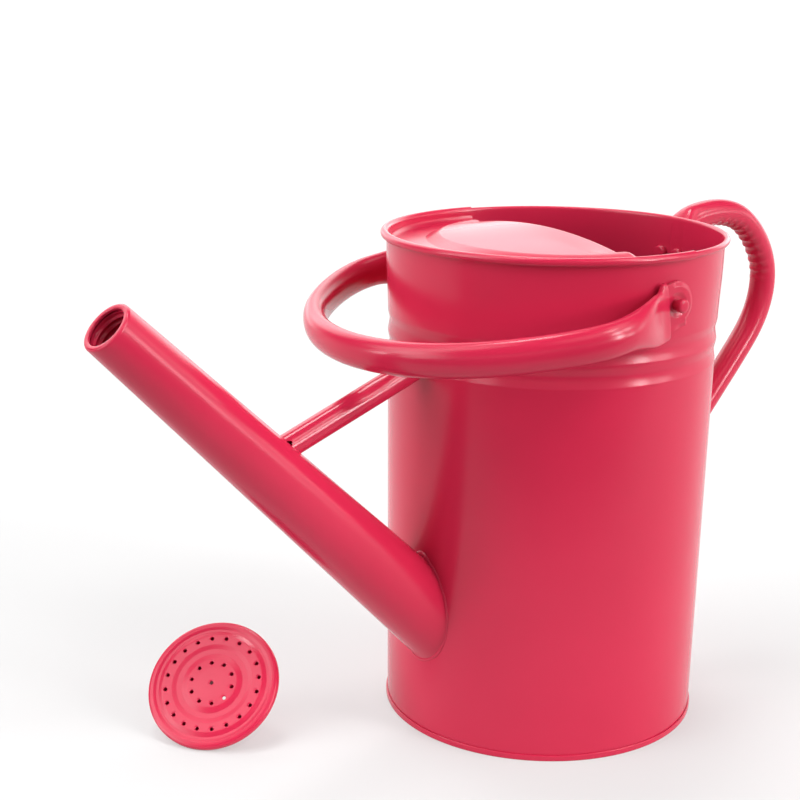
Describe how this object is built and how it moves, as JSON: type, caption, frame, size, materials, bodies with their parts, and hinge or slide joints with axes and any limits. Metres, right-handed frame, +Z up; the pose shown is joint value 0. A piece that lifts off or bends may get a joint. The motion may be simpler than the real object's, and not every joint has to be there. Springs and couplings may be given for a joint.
{
  "type": "watering can",
  "caption": "Sheet-steel watering can with a bow carrying handle, a fixed rear handle, a half splash cover, an angled braced spout and a screw-on rose lying beside it.",
  "frame": {"origin": "centre of the foot, on the floor plane", "axes": "+X points along the ground in the spout's direction, +Z points up the barrel, +Y is the left pivot seen from behind the can"},
  "size_m": [0.507, 0.2472, 0.3124],
  "materials": {
    "raspberry_paint": "gloss powder coat on steel sheet"
  },
  "bodies": {
    "can": {"barrel": "raspberry_paint", "base_pan": "raspberry_paint", "splash_cover": "raspberry_paint", "spout_tube": "raspberry_paint", "spout_flange": "raspberry_paint", "mouth_ring": "raspberry_paint", "spout_brace": "raspberry_paint", "rear_handle": "raspberry_paint", "rivets_upper": "raspberry_paint", "rivets_lower": "raspberry_paint", "pivot_studs": "raspberry_paint"},
    "bail": {"bail_tube": "raspberry_paint", "bail_ear_left": "raspberry_paint", "bail_ear_right": "raspberry_paint"},
    "rose": {"rose_face": "raspberry_paint", "rose_back": "raspberry_paint", "rose_neck": "raspberry_paint"}
  },
  "joints": [
    {"name": "bail_swing", "type": "hinge", "parent": "can", "child": "bail", "pos_m": [0, 0, 0.276], "axis": [0, -1, 0], "range_deg": [-5, 169]},
    {"name": "rose_lift", "type": "slide", "parent": "can", "child": "rose", "axis": [0, 0, 1], "range_m": [0, 0.3]}
  ]
}
